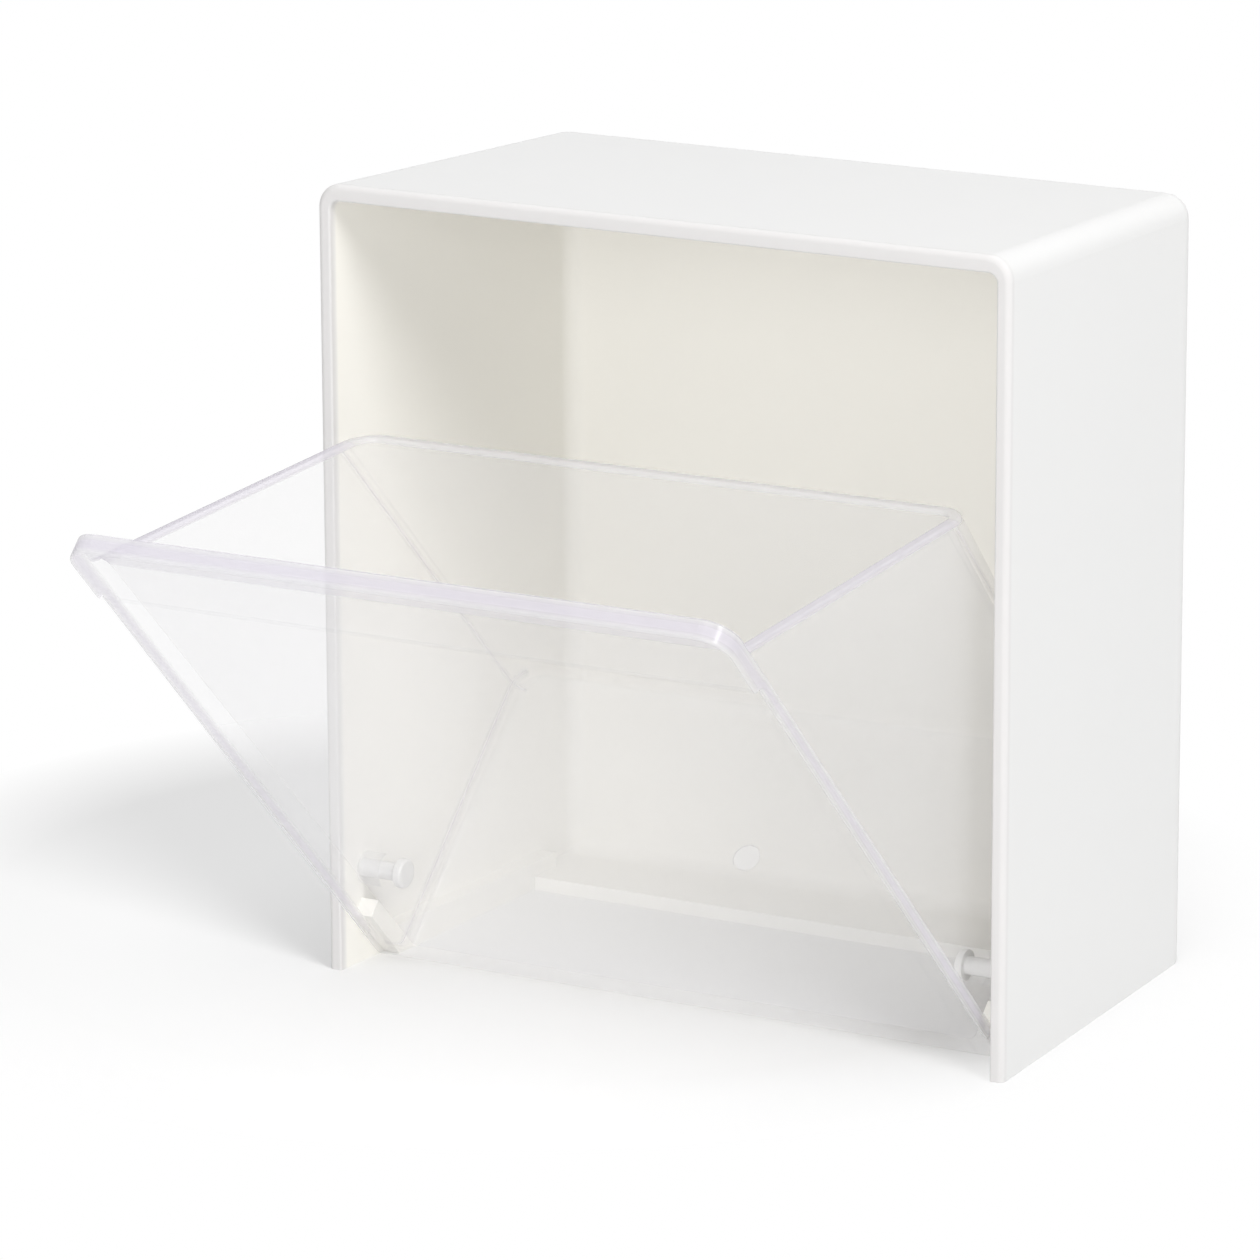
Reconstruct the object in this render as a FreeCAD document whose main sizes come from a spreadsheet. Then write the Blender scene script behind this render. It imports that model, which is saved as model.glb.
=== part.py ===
import FreeCAD, Part
import math
import os
import Sketcher
from FreeCAD import Vector

# Tilt-out pad holder: a white moulded casing, open at the front, and a clear bin that
# tilts out of it on two push-in pins.
# Frame: +Z up, the front faces -Y, X = 0 is the plane of symmetry. Z = 0 is the surface
# that the holder stands on, and Y = 0 is the middle of the casing's rear foot.
# The bin is placed open, resting on its stops.

doc = FreeCAD.newDocument("PadHolder")

# ---------------------------------------------------------------- driving dimensions
sheet = doc.addObject("Spreadsheet::Sheet", "Sizes")

sizes = [
    # casing
    ("casing_width", 125.0, "outside width at the front"),
    ("casing_height", 133.0, "outside height at the front"),
    ("casing_depth", 75.0, "front rim to back face"),
    ("side_wall", 2.4, "side wall"),
    ("top_wall", 2.8, "top wall"),
    ("back_wall", 2.6, "back wall"),
    ("wall_draft", 2.3, "sides and top lean in towards the back, degrees"),
    ("top_corner_radius", 4.0, "outside corner between top and sides"),
    ("back_edge_radius", 6.0, "outside edge round the back"),
    ("rim_radius", 1.0, "outer edge of the front rim"),
    ("rim_inner_radius", 0.4, "inner edge of the front rim"),
    ("foot_depth", 20.0, "rear foot, front edge to back face"),
    ("foot_wall", 2.4, "thickness of the rear foot"),
    ("inner_back_radius", 3.0, "inside edge round the back"),
    ("rail_width", 3.0, "how far a rail stands in from the side wall"),
    ("rail_height", 5.0, "rail along the foot of each side wall"),
    ("stop_depth", 3.2, "thickness of the slanted stop at a rail's front end"),
    ("stop_reach", 3.2, "start of the stop face, below the hinge axis"),
    # hinge
    ("pivot_setback", 7.0, "hinge axis behind the front rim"),
    ("pivot_height", 16.2, "hinge axis above the table"),
    ("open_angle", 45.0, "bin's tilt when it rests on the stops, degrees"),
    ("pin_diameter", 3.0, "hinge pin shank"),
    ("pin_running_clearance", 0.06, "radial, pin in the casing's socket"),
    ("pin_seat_clearance", 0.01, "radial, pin in the bin's boss"),
    ("pin_end_clearance", 0.3, "pin tip to the bottom of its socket"),
    ("pin_tip_chamfer", 0.4, "lead-in at the pin's tip"),
    ("head_diameter", 5.0, "hinge pin head"),
    ("head_height", 1.4, "hinge pin head"),
    ("head_edge_radius", 0.5, "rounded rim of the head"),
    ("head_gap", 0.1, "head to the bin's side"),
    ("socket_skin", 0.7, "casing wall left outside a socket"),
    ("boss_diameter", 5.6, "bin's hinge boss"),
    ("boss_clearance", 0.35, "boss to the casing's side wall"),
    ("boss_root_radius", 0.6, "where the boss meets the bin's side"),
    # bin
    ("side_clearance", 2.3, "panel edge to the casing's side wall, at the front"),
    ("panel_clearance", 0.4, "back of the shut panel to the casing's rim"),
    ("table_clearance", 1.8, "underside of the shut bin above the table"),
    ("top_reveal", 0.2, "casing top above the shut panel"),
    ("stop_clearance", 0.1, "panel to the stops when open"),
    ("panel_wall", 2.4, "front panel"),
    ("panel_overhang", 2.9, "panel edge beyond the bin's side, level with the hinge"),
    ("panel_corner_radius", 5.0, "top corners of the panel"),
    ("panel_edge_radius", 0.5, "outer edges of the panel"),
    ("lip_height", 15.0, "grip band along the panel's top edge"),
    ("lip_step", 1.1, "how far the grip band stands proud"),
    ("lip_edge_radius", 1.0, "lower edge of the grip band"),
    ("bin_depth", 58.4, "panel's outer face to the bin's back, level with the hinge"),
    ("bin_wall", 2.1, "sides and back of the bin"),
    ("bin_floor", 2.2, "floor of the bin"),
    ("bin_draft", 1.2, "sides and back lean in towards the floor, degrees"),
    ("bin_taper", 0.3, "sides close in towards the back, degrees"),
    ("side_drop", 5.6, "side's highest point below the panel's top"),
    ("side_slope", 41.9, "fall of the side's top edge, degrees"),
    ("bin_back_radius", 5.0, "upright back corners, outside"),
    ("bin_front_radius", 1.0, "upright front corners, inside"),
    ("bin_heel_radius", 3.8, "edge between panel and floor, outside"),
    ("bin_base_radius", 3.0, "edges round the floor, outside"),
    ("bin_inner_base_radius", 1.2, "edges round the floor, inside"),
    ("bin_rim_radius", 0.6, "top edges of the bin"),
    ("gate_diameter", 5.0, "moulding gate's dimple under the floor"),
    ("gate_depth", 0.6, "moulding gate's dimple under the floor"),
    ("cut_margin", 5.0, "how far cutting shapes run past the solid"),
]
for row, (alias, value, note) in enumerate(sizes, start=1):
    sheet.set("A%d" % row, note)
    sheet.set("B%d" % row, str(value))
    sheet.setAlias("B%d" % row, alias)

# sizes that follow from the driving ones
derived = [
    ("half_width", "casing_width / 2"),
    ("inner_half_width", "half_width - side_wall"),
    ("inner_top", "casing_height - top_wall"),
    ("inner_depth", "casing_depth - back_wall"),
    ("foot_front", "casing_depth - foot_depth"),
    ("origin_setback", "(foot_front + casing_depth - back_edge_radius) / 2"),
    ("wall_lean", "tan(wall_draft * 1 deg)"),
    ("panel_half_width", "inner_half_width - side_clearance"),
    ("bin_half_width", "panel_half_width - panel_overhang"),
    ("panel_front", "-(pivot_setback + panel_clearance + panel_wall)"),
    ("panel_back", "panel_front + panel_wall"),
    ("bin_bottom", "table_clearance - pivot_height"),
    ("panel_top", "casing_height - top_reveal - pivot_height"),
    ("side_top", "panel_top - side_drop"),
    ("bin_back", "panel_front + bin_depth"),
    ("bin_close", "tan(bin_taper * 1 deg)"),
    ("bin_back_half_width", "bin_half_width - bin_close * bin_depth"),
    ("bin_wall_half_width", "bin_half_width + bin_close * panel_front - bin_wall"),
    ("hollow_front_half_width", "bin_half_width - bin_close * panel_wall - bin_wall"),
    ("hollow_back_half_width", "bin_half_width - bin_close * (bin_depth - bin_wall) - bin_wall"),
    ("slope_fall", "tan(side_slope * 1 deg)"),
    ("boss_face", "inner_half_width - wall_lean * (pivot_setback + boss_diameter / 2) - boss_clearance"),
    ("socket_half_span", "half_width - wall_lean * pivot_setback - socket_skin"),
    ("stop_face", "pivot_setback + panel_clearance - stop_clearance"),
    ("stop_back", "stop_face - stop_depth"),
    ("tilt_cos", "cos(open_angle * 1 deg)"),
    ("tilt_sin", "sin(open_angle * 1 deg)"),
    ("stop_toe_reach", "(pivot_height - stop_face * tilt_sin) / tilt_cos"),
    ("stop_heel_reach", "(pivot_height - stop_back * tilt_sin - rail_height) / tilt_cos"),
    ("rail_front", "pivot_setback - stop_face * tilt_cos + stop_toe_reach * tilt_sin"),
    ("rail_face", "inner_half_width - rail_width - wall_lean * rail_front"),
    ("head_seat", "bin_wall_half_width - head_gap"),
    ("pin_tip", "socket_half_span - pin_end_clearance"),
]
for row, (alias, formula) in enumerate(derived, start=len(sizes) + 1):
    sheet.set("A%d" % row, "worked out")
    sheet.set("B%d" % row, "=" + formula)
    sheet.setAlias("B%d" % row, alias)
doc.recompute()


def size(alias):
    """Value of a cell of the sheet."""
    return float(getattr(sheet, alias))


# ---------------------------------------------------------------- small helpers
def named(expression):
    """Write the sheet's name before each alias in an expression."""
    words = {alias for alias, *_ in sizes + derived}
    out = []
    token = ""
    for letter in expression + " ":
        if letter.isalnum() or letter == "_":
            token += letter
        else:
            out.append("Sizes." + token if token in words else token)
            out.append(letter)
            token = ""
    return "".join(out).strip()


def plane(body, role):
    """The body's own origin plane with this role."""
    return [part for part in body.Origin.OriginFeatures if part.Role == role][0]


def new_body(label):
    body = doc.addObject("PartDesign::Body", label)
    body.Label = label
    return body


def place(body, along_y, along_z, angle="0"):
    """Put a body's origin at this Y and Z, turned about X by this many degrees."""
    body.Placement = FreeCAD.Placement(Vector(0, 0, 0), FreeCAD.Rotation(Vector(1, 0, 0), 0))
    body.setExpression("Placement.Base.y", named(along_y))
    body.setExpression("Placement.Base.z", named(along_z))
    body.setExpression("Placement.Rotation.Angle", named(angle))


def new_sketch(body, name, role, offset="0"):
    """Sketch on an origin plane, moved along the plane's normal."""
    sketch = body.newObject("Sketcher::SketchObject", name)
    sketch.AttachmentSupport = [(plane(body, role), "")]
    sketch.MapMode = "FlatFace"
    sketch.setExpression("AttachmentOffset.Base.z", named(offset))
    return sketch


def draw(sketch, corners, arcs=None):
    """Closed outline through corners given as pairs of expressions in the sketch's own axes.

    arcs maps a corner's number to the radius of the arc that leaves it, bulging to the right."""
    arcs = arcs or {}
    count = len(corners)
    values = [(evaluate(across), evaluate(up)) for across, up in corners]
    for here in range(count):
        start = Vector(*values[here], 0)
        end = Vector(*values[(here + 1) % count], 0)
        if here in arcs:
            chord = end - start
            radius = evaluate(arcs[here])
            rise = math.sqrt(radius ** 2 - (chord.Length / 2) ** 2)
            leftward = Vector(-chord.y, chord.x, 0).normalize()
            centre = (start + end) / 2 + leftward * rise
            middle = centre - leftward * radius
            sketch.addGeometry(Part.Arc(start, middle, end), False)
        else:
            sketch.addGeometry(Part.LineSegment(start, end), False)
    for here in range(count):
        sketch.addConstraint(Sketcher.Constraint("Coincident", here, 2, (here + 1) % count, 1))
    for here, (across, up) in enumerate(corners):
        for kind, value, formula in (("DistanceX", values[here][0], across),
                                     ("DistanceY", values[here][1], up)):
            index = sketch.addConstraint(Sketcher.Constraint(kind, -1, 1, here, 1, value))
            sketch.setExpression("Constraints[%d]" % index, named(formula))
    for here, radius in arcs.items():
        index = sketch.addConstraint(Sketcher.Constraint("Radius", here, evaluate(radius)))
        sketch.setExpression("Constraints[%d]" % index, named(radius))


def polygon(body, name, role, corners, offset="0"):
    """Sketch with a closed straight-sided outline."""
    sketch = new_sketch(body, name, role, offset)
    draw(sketch, corners)
    return sketch


def circle(body, name, role, across, up, diameter, offset="0"):
    """Circle about a point given by expressions in the sketch's own axes."""
    sketch = new_sketch(body, name, role, offset)
    centre = Vector(evaluate(across), evaluate(up), 0)
    sketch.addGeometry(Part.Circle(centre, Vector(0, 0, 1), evaluate(diameter) / 2), False)
    for kind, value, formula in (("DistanceX", centre.x, across), ("DistanceY", centre.y, up)):
        index = sketch.addConstraint(Sketcher.Constraint(kind, -1, 1, 0, 3, value))
        sketch.setExpression("Constraints[%d]" % index, named(formula))
    index = sketch.addConstraint(Sketcher.Constraint("Diameter", 0, evaluate(diameter)))
    sketch.setExpression("Constraints[%d]" % index, named(diameter))
    return sketch


def evaluate(expression):
    """Number that an expression over the sheet gives."""
    result = sheet.evalExpression(named(expression))
    return float(getattr(result, "Value", result))


def add(body, kind, name, numbers=None, **settings):
    """PartDesign feature; numbers maps its properties to expressions over the sheet."""
    item = body.newObject("PartDesign::" + kind, name)
    for prop, value in settings.items():
        setattr(item, prop, value)
    for prop, formula in (numbers or {}).items():
        item.setExpression(prop, named(formula))
    body.Tip = item
    doc.recompute()
    return item


def cut(body, name, profile, numbers=None, **settings):
    """Pocket that has to take something away."""
    before = body.Tip.Shape.Volume
    item = add(body, "Pocket", name, numbers, Profile=(profile, [""]), **settings)
    if item.Shape.Volume > before - 1e-3:
        raise RuntimeError(name + " cuts nothing")
    return item


def edge_names(shape, wanted):
    """Names of the edges whose middle point and direction pass the test."""
    names = []
    for number, edge in enumerate(shape.Edges, start=1):
        middle = edge.valueAt((edge.FirstParameter + edge.LastParameter) / 2)
        ends = [vertex.Point for vertex in edge.Vertexes]
        run = ends[-1] - ends[0] if len(ends) > 1 else Vector(0, 0, 0)
        if run.Length > 0:
            run.normalize()
        if wanted(edge, middle, run):
            names.append("Edge%d" % number)
    return names


def fillet(body, name, radius, wanted):
    """Round the chosen edges of the body's last feature."""
    base = body.Tip
    names = edge_names(base.Shape, wanted)
    if not names:
        raise RuntimeError(name + " finds no edge")
    return add(body, "Fillet", name, {"Radius": radius}, Base=(base, names))


def near(value, target, within=0.05):
    return abs(value - target) < within


def mirror(body, name, features):
    """Copy features to the other side of X = 0."""
    return add(body, "Mirrored", name, Originals=features, MirrorPlane=(plane(body, "YZ_Plane"), [""]))


def face_names(shape, directions, wanted=None):
    """Names of the flat faces that look along one of the directions and pass the test."""
    names = []
    for number, face in enumerate(shape.Faces, start=1):
        looks = face.normalAt(0, 0)
        if any((looks - Vector(*way)).Length < 0.05 for way in directions):
            if wanted is None or wanted(face.CenterOfMass):
                names.append("Face%d" % number)
    return names


def draft(body, name, faces, neutral, angle, flipped):
    """Lean faces of the body's last feature about an origin plane.

    The body thins along the plane's normal, or against it when flipped."""
    item = add(body, "Draft", name, {"Angle": angle}, Base=(body.Tip, faces),
               NeutralPlane=(plane(body, neutral), [""]), Reversed=flipped)
    # the plane only counts from the second recompute on
    item.touch()
    doc.recompute()
    return item


# ---------------------------------------------------------------- casing
# Drawn with the front rim on the XZ plane and the table on the XY plane.
def make_casing():
    body = new_body("casing")
    height = size("casing_height")
    depth = size("casing_depth")
    inner_depth = size("inner_depth")
    inner_half = size("inner_half_width")

    # a block hollowed from the front, over a level foot
    outline = polygon(body, "Outline", "XZ_Plane", [
        ("-half_width", "0"), ("half_width", "0"),
        ("half_width", "casing_height"), ("-half_width", "casing_height")])
    add(body, "Pad", "Block", {"Length": "casing_depth"}, Profile=(outline, [""]), Reversed=True)
    opening = polygon(body, "Opening", "XZ_Plane", [
        ("-inner_half_width", "foot_wall"), ("inner_half_width", "foot_wall"),
        ("inner_half_width", "inner_top"), ("-inner_half_width", "inner_top")])
    cavity = cut(body, "Cavity", opening, {"Length": "inner_depth"})

    # sides and top lean in towards the back, inside and outside alike
    inner = face_names(cavity.Shape, [(1, 0, 0), (-1, 0, 0), (0, 0, -1)],
                       lambda middle: middle.z > 1 and abs(middle.x) < inner_half + 0.1)
    hollow = draft(body, "InnerLean", inner, "XZ_Plane", "wall_draft", flipped=False)
    outer = face_names(hollow.Shape, [(1, 0, 0), (-1, 0, 0), (0, 0, 1)],
                       lambda middle: middle.z > height - 1 or abs(middle.x) > inner_half + 0.1)
    draft(body, "OuterLean", outer, "XZ_Plane", "wall_draft", flipped=True)

    def lengthwise(mid, run):
        return abs(run.y) > 0.9 and mid.z > height / 2

    fillet(body, "TopCorners", "top_corner_radius",
           lambda edge, mid, run: lengthwise(mid, run) and near(mid.y, depth / 2))
    fillet(body, "InnerTopCorners", "top_corner_radius - side_wall",
           lambda edge, mid, run: lengthwise(mid, run) and near(mid.y, inner_depth / 2))
    fillet(body, "BackEdges", "back_edge_radius", lambda edge, mid, run: near(mid.y, depth))
    fillet(body, "InnerBackEdges", "inner_back_radius",
           lambda edge, mid, run: near(mid.y, inner_depth))

    # the floor is open in front of the foot
    window = polygon(body, "Window", "XY_Plane", [
        ("-inner_half_width - wall_lean * cut_margin", "-cut_margin"),
        ("inner_half_width + wall_lean * cut_margin", "-cut_margin"),
        ("inner_half_width - wall_lean * foot_front", "foot_front"),
        ("-inner_half_width + wall_lean * foot_front", "foot_front")])
    cut(body, "FloorWindow", window, {"Length": "foot_wall"}, Reversed=True)

    # front rim
    def outside(edge):
        return all(near(abs(end.X), size("half_width")) or near(end.Z, height) for end in edge.Vertexes)

    fillet(body, "RimOuter", "rim_radius",
           lambda edge, mid, run: near(mid.y, 0) and mid.z > 1 and outside(edge))
    fillet(body, "RimInner", "rim_inner_radius",
           lambda edge, mid, run: near(mid.y, 0) and mid.z > 1 and not outside(edge))

    # blind hinge sockets in both side walls
    socket = circle(body, "Socket", "YZ_Plane", "pivot_setback", "pivot_height",
                    "pin_diameter + 2 * pin_running_clearance")
    cut(body, "Sockets", socket, {"Length": "2 * socket_half_span"}, Midplane=True)

    # a rail along the foot of each side wall, with a slanted stop at its front end
    rail = polygon(body, "Rail", "XY_Plane", [
        ("rail_face", "rail_front"),
        ("rail_face + rail_width + side_wall / 2", "rail_front"),
        ("inner_half_width + side_wall / 2 - wall_lean * origin_setback", "origin_setback"),
        ("inner_half_width - rail_width - wall_lean * origin_setback", "origin_setback")])
    rail_pad = add(body, "Pad", "RailPad", {"Length": "rail_height"}, Profile=(rail, [""]))
    stop = polygon(body, "Stop", "YZ_Plane", [
        ("pivot_setback - stop_face * tilt_cos + stop_reach * tilt_sin",
         "pivot_height - stop_face * tilt_sin - stop_reach * tilt_cos"),
        ("rail_front", "0"),
        ("rail_front + rail_width", "0"),
        ("rail_front + rail_width", "rail_height"),
        ("pivot_setback - stop_back * tilt_cos + stop_heel_reach * tilt_sin", "rail_height"),
        ("pivot_setback - stop_back * tilt_cos + stop_reach * tilt_sin",
         "pivot_height - stop_back * tilt_sin - stop_reach * tilt_cos")], "rail_face")
    stop_pad = add(body, "Pad", "StopPad", {"Length": "rail_width + side_wall / 2"}, Profile=(stop, [""]))
    mirror(body, "OtherRail", [rail_pad, stop_pad])
    place(body, "-origin_setback", "0")
    return body


# ---------------------------------------------------------------- bin
# Drawn shut, with the hinge axis along X through the body's own origin.
def make_bin():
    body = new_body("tilt_bin")
    back = size("bin_back")
    bottom = size("bin_bottom")
    floor = bottom + size("bin_floor")
    panel_back = size("panel_back")
    panel_top = size("panel_top")
    lip_front = size("panel_front") - size("lip_step")

    tub = polygon(body, "TubOutline", "XY_Plane", [
        ("-bin_half_width", "panel_front"), ("bin_half_width", "panel_front"),
        ("bin_back_half_width", "bin_back"), ("-bin_back_half_width", "bin_back")], "bin_bottom")
    add(body, "Pad", "Tub", {"Length": "side_top - bin_bottom"}, Profile=(tub, [""]))
    hollow = polygon(body, "HollowOutline", "XY_Plane", [
        ("-hollow_front_half_width", "panel_back"), ("hollow_front_half_width", "panel_back"),
        ("hollow_back_half_width", "bin_back - bin_wall"),
        ("-hollow_back_half_width", "bin_back - bin_wall")], "side_top")
    scooped = cut(body, "Hollow", hollow, {"Length": "side_top - bin_bottom - bin_floor"})

    # sides and back lean out upwards, inside and outside alike
    within = size("bin_half_width") - size("bin_wall") / 2
    rear = back - size("bin_wall") / 2
    ways = [(1, 0, 0), (-1, 0, 0), (0, 1, 0), (0, -1, 0)]
    outer = face_names(scooped.Shape, ways,
                       lambda middle: middle.y > 0 and (middle.y > rear or abs(middle.x) > within))
    leaned = draft(body, "TubLean", outer, "XY_Plane", "bin_draft", flipped=True)
    inner = face_names(leaned.Shape, ways,
                       lambda middle: middle.y > 0 and middle.y < rear and abs(middle.x) < within)
    draft(body, "HollowLean", inner, "XY_Plane", "bin_draft", flipped=False)

    # upright corners
    fillet(body, "BackCorners", "bin_back_radius",
           lambda edge, mid, run: abs(run.z) > 0.9 and mid.y > back)
    fillet(body, "InnerBackCorners", "bin_back_radius - bin_wall",
           lambda edge, mid, run: abs(run.z) > 0.9 and 0 < mid.y < back)

    # edges round the floor
    fillet(body, "BaseEdges", "bin_base_radius",
           lambda edge, mid, run: near(mid.z, bottom) and mid.y > 0)
    fillet(body, "InnerBaseEdges", "bin_inner_base_radius", lambda edge, mid, run: near(mid.z, floor))

    # the top edge falls from the panel to the back
    slope = polygon(body, "SlopeOutline", "YZ_Plane", [
        ("panel_back", "side_top - slope_fall * panel_wall"),
        ("bin_back + cut_margin", "side_top - slope_fall * (bin_depth + cut_margin)"),
        ("bin_back + cut_margin", "side_top + cut_margin"),
        ("panel_back", "side_top + cut_margin")])
    cut(body, "Slope", slope, {"Length": "2 * half_width"}, Midplane=True)

    # front panel with the grip band along its top
    panel = polygon(body, "PanelOutline", "YZ_Plane", [
        ("panel_front", "bin_bottom"), ("panel_back", "bin_bottom"), ("panel_back", "panel_top"),
        ("panel_front - lip_step", "panel_top"), ("panel_front - lip_step", "panel_top - lip_height"),
        ("panel_front", "panel_top - lip_height")])
    add(body, "Pad", "Panel", {"Length": "2 * panel_half_width"}, Profile=(panel, [""]), Midplane=True)

    # rounded heel where the panel turns into the floor
    heel = new_sketch(body, "HeelOutline", "YZ_Plane")
    corners = [("panel_front - cut_margin", "bin_bottom + bin_heel_radius"),
               ("panel_front", "bin_bottom + bin_heel_radius"),
               ("panel_front + bin_heel_radius", "bin_bottom"),
               ("panel_front + bin_heel_radius", "bin_bottom - cut_margin"),
               ("panel_front - cut_margin", "bin_bottom - cut_margin")]
    draw(heel, corners, {1: "bin_heel_radius"})
    cut(body, "Heel", heel, {"Length": "2 * half_width"}, Midplane=True)

    # panel's corners and edges
    fillet(body, "PanelCorners", "panel_corner_radius",
           lambda edge, mid, run: abs(run.y) > 0.9 and near(mid.z, panel_top))
    fillet(body, "LipFoot", "lip_edge_radius",
           lambda edge, mid, run: near(mid.y, lip_front) and near(mid.z, panel_top - size("lip_height")))
    fillet(body, "LipEdges", "panel_edge_radius", lambda edge, mid, run: near(mid.y, lip_front))

    # hinge bosses
    boss_radius = size("boss_diameter") / 2
    boss = circle(body, "BossOutline", "YZ_Plane", "0", "0",
                  "boss_diameter", "bin_half_width - bin_wall / 2")
    boss_pad = add(body, "Pad", "Boss", {"Length": "boss_face - bin_half_width + bin_wall / 2"},
                   Profile=(boss, [""]))
    mirror(body, "OtherBoss", [boss_pad])
    fillet(body, "BossRoots", "boss_root_radius",
           lambda edge, mid, run: abs(mid.x) < size("boss_face") - size("boss_root_radius")
           and all(near(math.hypot(end.Y, end.Z), boss_radius) for end in edge.Vertexes)
           and near(math.hypot(mid.y, mid.z), boss_radius) and abs(run.x) < 0.9)
    bore = circle(body, "BoreOutline", "YZ_Plane", "0", "0", "pin_diameter + 2 * pin_seat_clearance")
    cut(body, "Bores", bore, {"Length": "2 * half_width"}, Midplane=True)

    # gate mark under the floor
    gate = circle(body, "GateOutline", "XY_Plane", "0", "panel_front + bin_depth / 2",
                  "gate_diameter", "bin_bottom")
    cut(body, "GateMark", gate, {"Length": "gate_depth"}, Reversed=True)

    # top edge of sides and back, then the upright corners behind the panel
    fall = size("slope_fall")
    high = size("side_top") + fall * size("panel_front")
    half = size("bin_half_width")
    fillet(body, "TopEdges", "bin_rim_radius",
           lambda edge, mid, run: mid.y > panel_back + 1 and near(mid.z, high - fall * mid.y))
    fillet(body, "InnerFrontCorners", "bin_front_radius",
           lambda edge, mid, run: abs(run.z) > 0.9 and near(mid.y, panel_back)
           and abs(mid.x) < half and mid.z < high)
    place(body, "pivot_setback - origin_setback", "pivot_height", "open_angle")
    return body


# ---------------------------------------------------------------- hinge pins
# Turned about the X axis; side is "" for the pin at +X and "-" for the one at -X.
def make_pin(label, side):
    body = new_body(label)
    outline = polygon(body, "Outline", "XY_Plane", [
        (side + "(head_seat - head_height)", "0"),
        (side + "(head_seat - head_height)", "head_diameter / 2"),
        (side + "head_seat", "head_diameter / 2"),
        (side + "head_seat", "pin_diameter / 2"),
        (side + "(pin_tip - pin_tip_chamfer)", "pin_diameter / 2"),
        (side + "pin_tip", "pin_diameter / 2 - pin_tip_chamfer"),
        (side + "pin_tip", "0")])
    add(body, "Revolution", "Turned", Profile=(outline, [""]), ReferenceAxis=(outline, ["H_Axis"]),
                 Angle=360)
    end = size("head_seat") - size("head_height")
    rim = size("head_diameter") / 2
    fillet(body, "HeadRim", "head_edge_radius",
           lambda edge, mid, run: near(abs(mid.x), end) and near(math.hypot(mid.y, mid.z), rim))
    place(body, "pivot_setback - origin_setback", "pivot_height", "open_angle")
    return body


casing = make_casing()
tilt_bin = make_bin()
pin_left = make_pin("hinge_pin_left", "-")
pin_right = make_pin("hinge_pin_right", "")

# ---------------------------------------------------------------- checks and files
subparts = [casing, tilt_bin, pin_left, pin_right]
doc.recompute()
for item in doc.Objects:
    for state in item.State:
        if state in ("Invalid", "Error"):
            raise RuntimeError("%s is %s" % (item.Label, state))
for body in subparts:
    shape = body.Shape
    if shape.isNull() or not shape.isValid() or len(shape.Solids) != 1:
        raise RuntimeError(body.Label + " is not one valid solid")
os.makedirs("parts", exist_ok=True)
for body in subparts:
    body.Shape.exportStep("parts/%s.step" % body.Label)
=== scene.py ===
import bpy
from mathutils import Matrix, Vector
from math import radians

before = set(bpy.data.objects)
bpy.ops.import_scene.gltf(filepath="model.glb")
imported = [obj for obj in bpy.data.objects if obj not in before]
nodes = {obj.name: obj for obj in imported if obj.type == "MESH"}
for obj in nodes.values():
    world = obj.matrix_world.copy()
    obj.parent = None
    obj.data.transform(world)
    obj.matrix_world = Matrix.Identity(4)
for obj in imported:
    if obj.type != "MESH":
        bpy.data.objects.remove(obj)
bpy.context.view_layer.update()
print("frame loaded:", sorted(nodes))


class Sock:
    # a value in a node tree; an operator on it adds the Math node for it
    def __init__(self, tree, socket):
        self.tree, self.socket = tree, socket

    def math(self, operation, *others):
        node = self.tree.nodes.new("ShaderNodeMath")
        node.operation = operation
        for slot, item in zip(node.inputs, (self,) + others):
            plug(self.tree, slot, item)
        return Sock(self.tree, node.outputs[0])

    def __add__(self, other): return self.math("ADD", other)
    def __radd__(self, other): return self.math("ADD", other)
    def __sub__(self, other): return self.math("SUBTRACT", other)
    def __rsub__(self, other): return (self * -1.0) + other
    def __mul__(self, other): return self.math("MULTIPLY", other)
    def __rmul__(self, other): return self.math("MULTIPLY", other)
    def __truediv__(self, other): return self.math("DIVIDE", other)
    def __pow__(self, other): return self.math("POWER", other)
    def __abs__(self): return self.math("ABSOLUTE")
    def clamp(self): return self.math("MAXIMUM", 0.0).math("MINIMUM", 1.0)

    def ramp(self, low, high):
        # 0 at low, 1 at high
        return ((self - low) * (1.0 / (high - low))).clamp()


def plug(tree, slot, item):
    # a link where item is a Sock, else a plain value
    if isinstance(item, Sock):
        tree.links.new(item.socket, slot)
    else:
        slot.default_value = item


def near(value, middle, half):
    # 1 at the middle, falling to 0 at half away from it
    return (1.0 - abs(value - middle) * (1.0 / half)).clamp()


def most(first, *others):
    for other in others:
        first = first.math("MAXIMUM", other)
    return first


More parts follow.
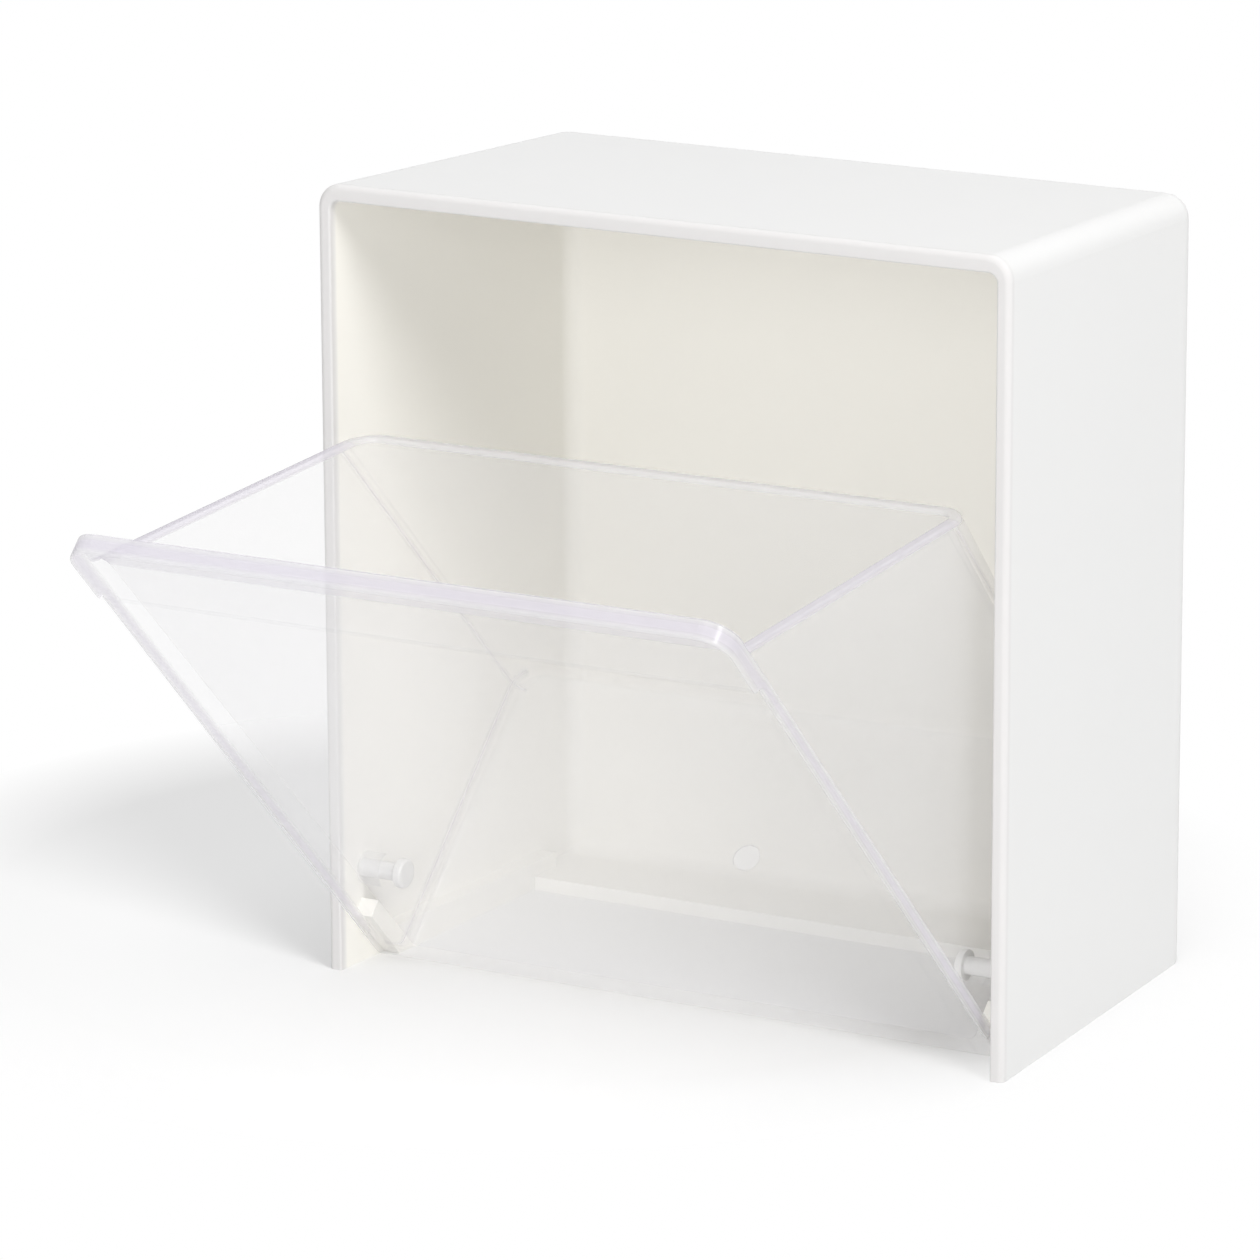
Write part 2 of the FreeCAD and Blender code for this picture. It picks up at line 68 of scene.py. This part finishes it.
class Shader:
    # the nodes of a material or of the world
    def __init__(self, owner):
        self.owner = owner
        owner.use_nodes = True
        self.tree = owner.node_tree
        self.tree.nodes.clear()

    def node(self, kind, settings=None, inputs=None, output=0):
        # settings are set first, then the sockets' values or links; a list of outputs gives a list
        made = self.tree.nodes.new("ShaderNode" + kind)
        for key, value in (settings or {}).items():
            setattr(made, key, value)
        for key, item in (inputs or {}).items():
            plug(self.tree, made.inputs[key], item)
        if isinstance(output, (list, tuple)):
            return [Sock(self.tree, made.outputs[each]) for each in output]
        return Sock(self.tree, made.outputs[output])

    def place(self):
        return self.node("TexCoord", output="Object")

    def axes(self):
        return self.node("SeparateXYZ", {}, {0: self.place()}, ("X", "Y", "Z"))

    def noise(self, scale, detail=3.0, roughness=0.5):
        return self.node("TexNoise", {}, {"Vector": self.place(), "Scale": scale, "Detail": detail,
                                          "Roughness": roughness}, "Fac")

    def blend(self, factor, first, second):
        return self.node("Mix", {"data_type": "RGBA"}, {"Factor": factor, 6: first, 7: second}, 2)

    def mixed(self, factor, first, second):
        return self.node("MixShader", {}, {0: factor, 1: first, 2: second})

    def rays(self, *names):
        # 1 on any of the named kinds of ray
        return sum(self.node("LightPath", {}, {}, names), 0.0).clamp()

    def bump(self, height, strength, distance):
        return self.node("Bump", {}, {"Height": height, "Strength": strength, "Distance": distance})

    def plastic(self, look, tint, rough, normal):
        return self.node("BsdfPrincipled", {}, {"Base Color": tint, "Roughness": rough, "Normal": normal,
                                                "IOR": look["ior"], "Specular IOR Level": look["gloss"]})

    def surface(self, shader):
        kind = "OutputWorld" if isinstance(self.owner, bpy.types.World) else "OutputMaterial"
        self.node(kind, {}, {"Surface": shader}, [])
        return self.owner


plainWhite = (1.0, 1.0, 1.0, 1.0)

whiteLook = {                                  # lengths in metres; a pair is where something begins and is full
    "outside": (0.860, 0.860, 0.857, 1.0),
    "inside": (0.976, 0.960, 0.910, 1.0),      # painted light: lighter and a little warmer than the outside, standing in for light let through the translucent walls and bounced between them
    "rim": (0.735, 0.722, 0.718, 1.0),         # front edge of the walls, painted shade: darker for the less light that falls on the front faces
    "cloud": (0.835, 0.832, 0.822, 1.0),       # slow unevenness of the moulded colour
    "cloudShare": 0.12,
    "cloudPitch": 18.0,
    "roughLow": 0.44,
    "roughHigh": 0.58,
    "roughPitch": 240.0,
    "texture": 0.10,                           # fine moulded texture
    "texturePitch": 2600.0,
    "textureDepth": 0.00006,
    "ior": 1.48,
    "gloss": 0.2,
    "frontY": -0.062,                          # front of the walls
    "draft": 0.04,                             # how much the inside narrows for each metre from the front
    "insideHalf": 0.0613,                      # inside of the side walls, at the front
    "insideTop": 0.1316,
    "insideFade": 0.0008,
    "insideFront": (-0.0615, -0.0600),
    "insideBack": 0.0117,
    "backFade": 0.0006,
    "rimBack": (-0.0617, -0.0602),
}


def whitePlastic():
    look = whiteLook
    s = Shader(bpy.data.materials.new("white_matte_plastic"))
    x, y, z = s.axes()
    # inside, where painted light makes the walls lighter and warmer: behind the rim, between the side walls,
    # under the top and in front of the back wall
    lean = (y - look["frontY"]) * look["draft"]
    between = (look["insideHalf"] - lean - abs(x)).ramp(0.0, look["insideFade"])
    under = (look["insideTop"] - lean - z).ramp(0.0, look["insideFade"])
    front = y.ramp(*look["insideFront"])
    back = (look["insideBack"] - y).ramp(0.0, look["backFade"])
    tint = s.blend(between * under * front * back, look["outside"], look["inside"])
    # painted shade: the front edges of the walls darker, for the less light that falls on them
    tint = s.blend(1.0 - y.ramp(*look["rimBack"]), tint, look["rim"])
    tint = s.blend(s.noise(look["cloudPitch"], 1.0) * look["cloudShare"], tint, look["cloud"])
    grain = s.noise(look["roughPitch"], 2.0, 0.6)
    rough = grain * (look["roughHigh"] - look["roughLow"]) + look["roughLow"]
    normal = s.bump(s.noise(look["texturePitch"], 0.0), look["texture"], look["textureDepth"])
    return s.surface(s.plastic(look, tint, rough, normal))


clearLook = {                                  # lengths in metres; a pair is where something begins and is full
    "veil": (0.93, 0.925, 0.940, 1.0),         # the faint milkiness of the clear plastic
    "through": (0.984, 0.984, 0.985, 1.0),     # what one face lets through
    "edge": (0.75, 0.74, 0.765, 1.0),          # along its edges: partly the plastic's own lavender, seen through more of it, and partly painted refraction darkening them
    "core": (0.68, 0.650, 0.725, 1.0),         # darker colour inside its edges: partly the plastic's own lavender, seen through more of it, and partly painted refraction
    "veilShare": 0.12,
    "edgeShare": 0.50,
    "coreShare": 0.60,
    "cornerShare": 0.36,                       # along the bin's rounded corners, painted refraction: darker lines where light is bent there
    "gateShare": 0.55,                         # in the moulding gate's dimple under the floor, a painted highlight: a pale milky spot
    "bandShare": 0.14,                         # in the grip band along the panel's top
    "footShare": 0.18,                         # where the bin's walls stand on the panel
    "baseEdge": 0.4,                           # of the edge's look, along the bin's foot
    "paleEdge": 0.5,                           # of the edge's colour, in the band and where the walls stand
    "glance": 0.20,                            # more where the surface is seen at a glancing angle
    "glancePower": 4.0,
    "lightPassed": 0.95,                       # of what the veil would keep from the light behind it
    "roughLow": 0.05,
    "roughHigh": 0.14,
    "roughPitch": 35.0,
    "flow": 0.05,                              # slow waves of the moulded surface
    "flowPitch": 22.0,
    "flowDepth": 0.0004,
    "ior": 1.5,
    "gloss": 0.6,
    "hingeY": -0.0550,
    "hingeZ": 0.0162,
    "tilt": 0.70711,                           # sine and cosine of the bin's 45 degrees
    "panelFront": -0.0098,                     # from here on in the bin's own axes, deep and tall
    "panelBack": -0.0074,
    "panelTop": 0.1166,
    "panelHalf": 0.0578,
    "panelCorner": 0.0050,
    "offPanel": (-0.0077, -0.0073),
    "cutEdge": (0.0043, 0.0048),               # out from the middle of the panel's rounded corners
    "edgeRise": (-0.0140, 0.0),                # the panel's cut edge grows clear up from its foot
    "lipFront": -0.0109,
    "lipFoot": 0.1016,
    "lipRise": (0.1012, 0.1020),
    "coreHalf": 0.0008,                        # half depth of the colour inside the panel's edge
    "lipCoreMore": 0.0005,                     # and how much more in the lip
    "coreFade": (0.5, 1.0),
    "stepHalf": 0.0024,                        # the step under the lip
    "stepFade": (0.0, 0.5),
    "stepBack": (-0.0101, -0.0095),
    "stepHidden": 0.8,
    "binBack": 0.0486,
    "binFoot": -0.0144,
    "binHalf": 0.0552,
    "binFlare": 0.0209,
    "wall": 0.0021,
    "rimTop": 0.1110,
    "rimSlope": -0.8972,
    "rimRise": (-0.0016, -0.0008),
    "backRise": (0.0452, 0.0458),
    "standHalf": 0.0016,
    "baseTop": (-0.0136, -0.0126),
    "sideDepth": (0.0024, 0.0030),             # in from the outside of the side walls
    "uprightIn": 0.0042,                       # in from the back, where its rounded corners begin
    "uprightHalf": 0.0012,
    "keelUp": 0.0024,                          # up from the foot, where its rounded corners begin
    "keelHalf": 0.0020,
    "gateDeep": 0.0194,
    "gateRing": (0.0022, 0.0025),
    "gateTop": (-0.0136, -0.0132),
}


def clearPlastic():
    look = clearLook
    s = Shader(bpy.data.materials.new("clear_plastic"))
    x, y, z = s.axes()
    # the bin's own axes: deep runs from the panel to the back, tall runs up the panel from the hinge
    deep = ((y - look["hingeY"]) + (z - look["hingeZ"])) * look["tilt"]
    tall = ((z - look["hingeZ"]) - (y - look["hingeY"])) * look["tilt"]
    side = abs(x)
    half = tall * look["binFlare"] + look["binHalf"]    # outside of the bin's side wall, at this height
    onPanel = 1.0 - deep.ramp(*look["offPanel"])
    offPanel = 1.0 - onPanel

    # how far out in the panel's outline, measured from inside its rounded corners
    outX = (side - (look["panelHalf"] - look["panelCorner"])).math("MAXIMUM", 0.0)
    outTall = (tall - (look["panelTop"] - look["panelCorner"])).math("MAXIMUM", 0.0)
    around = (outX * outX + outTall * outTall) ** 0.5
    panelEdge = around.ramp(*look["cutEdge"]) * onPanel * tall.ramp(*look["edgeRise"])
    band = tall.ramp(*look["lipRise"]) * onPanel

    # the core lies half way through the panel, and half way through the lip in the band
    panelMiddle = (look["panelFront"] + look["panelBack"]) / 2
    lipMiddle = (look["lipFront"] + look["panelBack"]) / 2
    fromMiddle = abs(deep - (band * (lipMiddle - panelMiddle) + panelMiddle))
    fromMiddle = fromMiddle / (band * look["lipCoreMore"] + look["coreHalf"])
    panelCore = panelEdge * (1.0 - fromMiddle.ramp(*look["coreFade"]))

    # the sloped rims of the side walls, and where the walls stand on the panel
    under = tall - ((deep - look["panelFront"]) * look["rimSlope"] + look["rimTop"])
    rim = under.ramp(*look["rimRise"]) * offPanel
    rimCore = rim * (1.0 - deep.ramp(*look["backRise"]))
    stand = near(side, half - look["wall"] / 2, look["standHalf"]) * onPanel
    base = 1.0 - tall.ramp(*look["baseTop"])

    # the side walls' ends, where the rounded corners up the back and along the floor begin and get painted
    # refraction as darker lines
    onSide = (1.0 - (half - side).ramp(*look["sideDepth"])) * offPanel
    upright = near(look["binBack"] - deep, look["uprightIn"], look["uprightHalf"])
    keel = near(tall - look["binFoot"], look["keelUp"], look["keelHalf"])
    corner = most(upright, keel) * onSide

    # painted highlight: the moulding gate's dimple as a pale milky spot
    gate = 1.0 - ((x ** 2.0 + (deep - look["gateDeep"]) ** 2.0) ** 0.5).ramp(*look["gateRing"])
    gate = gate * (1.0 - tall.ramp(*look["gateTop"]))
    edge = most(panelEdge, rim, base * (1.0 - gate) * look["baseEdge"])
    core = most(panelCore, rimCore)

    # the step under the lip is nearly invisible
    step = near(tall, look["lipFoot"], look["stepHalf"]).ramp(*look["stepFade"])
    step = step * (1.0 - deep.ramp(*look["stepBack"])) * (1.0 - panelEdge)

    facing = s.node("LayerWeight", {}, {"Blend": 0.5}, "Facing")
    glance = (facing ** look["glancePower"]) * look["glance"] * (1.0 - step)
    share = band * (look["bandShare"] - look["veilShare"]) + look["veilShare"]
    share = most(share, stand * look["footShare"], corner * look["cornerShare"], gate * look["gateShare"],
                 edge * look["edgeShare"], core * look["coreShare"])
    alpha = (share * (1.0 - step * look["stepHidden"]) + glance).clamp()

    # painted refraction, partly the plastic's own lavender: darker tints along the edges, in their cores and
    # along the rounded corners
    tint = s.blend(most(edge, band * look["paleEdge"], stand * look["paleEdge"]), look["veil"], look["edge"])
    tint = s.blend(most(core, corner), tint, look["core"])
    rough = s.noise(look["roughPitch"], 1.0) * (look["roughHigh"] - look["roughLow"]) + look["roughLow"]
    normal = s.bump(s.noise(look["flowPitch"], 0.0), look["flow"], look["flowDepth"])
    through = s.node("BsdfTransparent", {}, {"Color": look["through"]})
    passed = s.node("BsdfTransparent", {}, {"Color": plainWhite})
    seen = s.mixed(alpha, through, s.plastic(look, tint, rough, normal))
    return s.surface(s.mixed(s.rays("Is Shadow Ray") * look["lightPassed"], seen, passed))


pinLook = {
    "colour": (0.84, 0.835, 0.82, 1.0),
    "shade": (0.70, 0.69, 0.69, 1.0),          # darker streaks along the pin
    "shadeShare": 0.5,
    "linePitch": 900.0,
    "lineStretch": 0.1,                        # along the pin, which lies along X
    "lineDepth": 0.0002,
    "lineBump": 0.08,
    "roughLow": 0.10,
    "roughHigh": 0.30,
    "ior": 1.5,
    "gloss": 0.6,
}


def pinPlastic():
    look = pinLook
    s = Shader(bpy.data.materials.new("pin_plastic"))
    x, y, z = s.axes()
    along = s.node("CombineXYZ", {}, {"X": x * look["lineStretch"], "Y": y, "Z": z})
    lines = s.node("TexNoise", {}, {"Vector": along, "Scale": look["linePitch"], "Detail": 2.0}, "Fac")
    tint = s.blend(lines * look["shadeShare"], look["colour"], look["shade"])
    rough = lines * (look["roughHigh"] - look["roughLow"]) + look["roughLow"]
    normal = s.bump(lines, look["lineBump"], look["lineDepth"])
    return s.surface(s.plastic(look, tint, rough, normal))


def wear(material, *names):
    for name in names:
        mesh = nodes[name].data
        mesh.materials.clear()
        mesh.materials.append(material)


wear(whitePlastic(), "casing")
wear(clearPlastic(), "tilt_bin")
wear(pinPlastic(), "hinge_pin_left", "hinge_pin_right")
print("materials on")


stageLook = {
    "floorSize": 6.0,
    "floorSeen": (0.915, 0.915, 0.915, 1.0),   # seen by the camera, straight or through the clear plastic
    "floorBounce": (0.80, 0.80, 0.795, 1.0),   # what it throws back at the object
    "shadeX": -0.05,                           # middle of the floor that shows the shadow
    "shadeY": -0.014,
    "shadeReach": (0.096, 0.130),              # from the middle: where the shadow starts to fade, and is gone
    "skyStrength": 0.45,
    "clearBounces": 32,                        # each clear wall on a ray's way counts as two
}
lampAim = (0.0, -0.04, 0.06)
lamps = {                                      # place, size and power of each soft lamp
    "front_softbox": ((0.40, -1.70, 0.36), 1.0, 9.7),
    "side_softbox": ((1.15, -0.62, 1.10), 0.7, 11.4),
    "top_softbox": ((-0.1, 0.1, 1.9), 1.4, 12.3),
}


def makeFloor():
    look = stageLook
    half = look["floorSize"] / 2
    corners = [(-half, -half, 0), (half, -half, 0), (half, half, 0), (-half, half, 0)]
    mesh = bpy.data.meshes.new("floor")
    mesh.from_pydata(corners, [], [(0, 1, 2, 3)])
    floor = bpy.data.objects.new("floor", mesh)
    bpy.context.collection.objects.link(floor)
    s = Shader(bpy.data.materials.new("floor_paper"))
    seen = s.rays("Is Camera Ray", "Is Glossy Ray", "Is Transmission Ray")
    tint = s.blend(seen, look["floorBounce"], look["floorSeen"])
    paper = s.node("BsdfDiffuse", {}, {"Color": tint})
    plain = s.node("Emission", {}, {"Color": plainWhite})
    # lit paper under and around the box, running out to plain white
    x, y, _ = s.axes()
    reach = ((x - look["shadeX"]) ** 2.0 + (y - look["shadeY"]) ** 2.0) ** 0.5
    top = s.mixed(seen * reach.ramp(*look["shadeReach"]), paper, plain)
    # open from below, so that the underside can be looked at
    below = s.node("NewGeometry", output="Backfacing")
    unseen = s.node("BsdfTransparent", {}, {"Color": plainWhite})
    mesh.materials.append(s.surface(s.mixed(below, top, unseen)))


def makeWorld():
    world = bpy.data.worlds.new("sky")
    bpy.context.scene.world = world
    s = Shader(world)
    seen = s.rays("Is Camera Ray", "Is Transmission Ray")
    strength = seen * (1.0 - stageLook["skyStrength"]) + stageLook["skyStrength"]
    s.surface(s.node("Background", {}, {"Color": plainWhite, "Strength": strength}))


def makeLamp(name, place, size, power):
    lamp = bpy.data.lights.new(name, "AREA")
    lamp.shape = "DISK"
    lamp.size = size
    lamp.energy = power
    lampObject = bpy.data.objects.new(name, lamp)
    bpy.context.collection.objects.link(lampObject)
    lampObject.location = place
    lampObject.rotation_euler = (Vector(lampAim) - Vector(place)).to_track_quat("-Z", "Y").to_euler()


cameraLook = {
    "place": (0.52836, -1.00369, 0.35310),
    "turn": 29.513,                            # left of straight ahead, degrees
    "down": 14.880,
    "roll": -0.252,
    "lens": 200.0,
    "sensor": 36.0,
    "clip": (0.05, 50.0),
}


def makeCamera():
    look = cameraLook
    camera = bpy.data.cameras.new("camera")
    camera.sensor_width = look["sensor"]
    camera.lens = look["lens"]
    camera.clip_start, camera.clip_end = look["clip"]
    cameraObject = bpy.data.objects.new("camera", camera)
    bpy.context.collection.objects.link(cameraObject)
    turn = Matrix.Rotation(radians(look["turn"]), 4, "Z")
    down = Matrix.Rotation(radians(90.0 - look["down"]), 4, "X")
    roll = Matrix.Rotation(radians(look["roll"]), 4, "Z")
    cameraObject.matrix_world = Matrix.Translation(look["place"]) @ turn @ down @ roll
    bpy.context.scene.camera = cameraObject


makeFloor()
makeWorld()
for lampName, lampLook in lamps.items():
    makeLamp(lampName, *lampLook)
makeCamera()
bpy.context.scene.view_settings.view_transform = "Standard"
bpy.context.scene.cycles.transparent_max_bounces = stageLook["clearBounces"]
print("stage ready")
